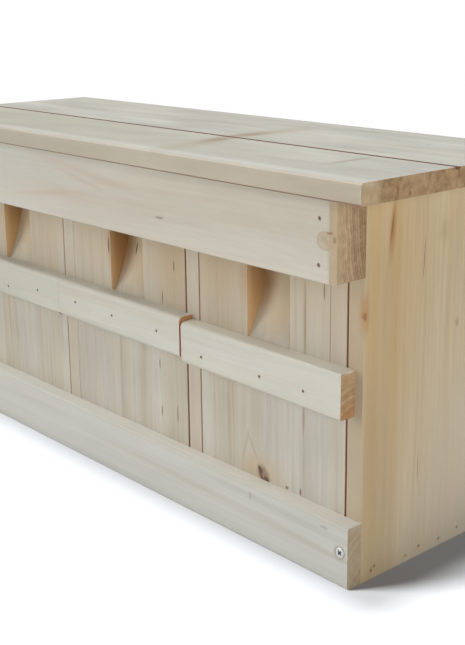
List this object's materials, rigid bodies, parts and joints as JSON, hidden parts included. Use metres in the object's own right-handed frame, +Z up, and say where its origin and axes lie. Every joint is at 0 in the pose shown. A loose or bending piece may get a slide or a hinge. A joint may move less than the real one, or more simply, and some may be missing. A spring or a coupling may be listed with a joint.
{
  "type": "nesting box",
  "caption": "Long nest box for small birds: bare fir boards, separate rooms behind lift-out doors with curved entrance ramps, front beam, bottom rail and flat plank roof.",
  "frame": {"origin": "centre of the bounding box on the plane the box stands on", "axes": "+X along the box to the right seen from the front, -Y the front with the doors, +Z up"},
  "size_m": [0.44, 0.155, 0.215],
  "materials": {
    "fir_front": "bare planed",
    "fir_side": "bare planed",
    "fir_roof": "bare planed",
    "fir_inner": "bare sawn",
    "brad_steel": "dull",
    "screw_zinc": "zinc plated"
  },
  "bodies": {
    "box": {"left_side": "fir_side", "right_side": "fir_side", "left_divider": "fir_inner", "right_divider": "fir_inner", "floor_board": "fir_inner", "lower_back_board": "fir_inner", "upper_back_board": "fir_inner", "roof_front_plank": "fir_roof", "roof_rear_plank": "fir_roof", "left_roof_cleat": "fir_inner", "right_roof_cleat": "fir_inner", "front_beam": "fir_front", "bottom_rail": "fir_front", "left_floor_brads": "brad_steel", "right_floor_brads": "brad_steel", "divider_nails": "brad_steel", "lower_back_nails": "brad_steel", "upper_back_nails": "brad_steel", "beam_nails": "brad_steel", "rail_screws": "screw_zinc", "roof_screws": "screw_zinc", "cleat_screws": "screw_zinc"},
    "left_door": {"left_door": "fir_front", "left_batten": "fir_front", "left_batten_brads": "brad_steel"},
    "middle_door": {"middle_door": "fir_front", "middle_batten": "fir_front", "middle_batten_brads": "brad_steel"},
    "right_door": {"right_door": "fir_front", "right_batten": "fir_front", "right_batten_brads": "brad_steel"}
  },
  "joints": [
    {"name": "left_door_lift", "type": "slide", "parent": "box", "child": "left_door", "axis": [0, 0, 1], "range_m": [0, 0.0238]},
    {"name": "middle_door_lift", "type": "slide", "parent": "box", "child": "middle_door", "axis": [0, 0, 1], "range_m": [0, 0.0238]},
    {"name": "right_door_lift", "type": "slide", "parent": "box", "child": "right_door", "axis": [0, 0, 1], "range_m": [0, 0.0238]}
  ]
}
